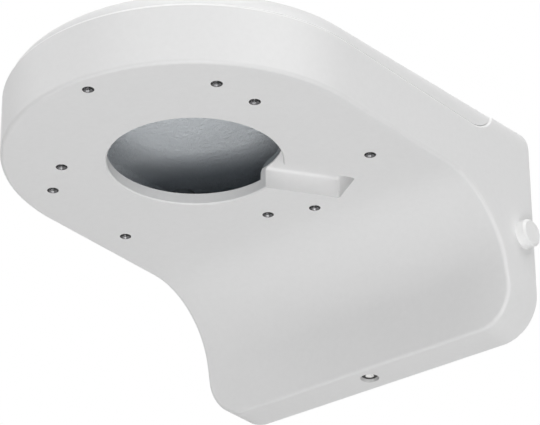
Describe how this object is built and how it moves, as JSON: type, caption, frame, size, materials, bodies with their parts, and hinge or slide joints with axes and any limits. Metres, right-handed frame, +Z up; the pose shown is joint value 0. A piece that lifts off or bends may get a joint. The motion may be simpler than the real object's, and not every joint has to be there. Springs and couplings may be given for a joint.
{
  "type": "camera wall bracket",
  "caption": "Swan-neck wall bracket for a dome camera: round hollow head with a cable opening and threaded holes, swept into a box that hangs on a wall plate.",
  "frame": {"origin": "wall plane, at the middle of the wall plate's four fixing slots", "axes": "-Y points away from the wall along the arm, +Z is up, X runs along the wall"},
  "size_m": [0.1675, 0.207, 0.1002],
  "materials": {
    "white_powder_coat": "satin",
    "stainless_screw": "satin",
    "zinc_plate": "satin",
    "black_rubber": "matte",
    "white_nylon": "matte"
  },
  "bodies": {
    "root": {"bracket_body": "white_powder_coat", "top_cover": "white_powder_coat", "cover_screws": "stainless_screw", "wall_hook_plate": "zinc_plate", "wall_gasket": "black_rubber", "lock_screw": "stainless_screw", "cable_plug": "white_nylon", "cable_plug_seal": "black_rubber"}
  },
  "joints": []
}
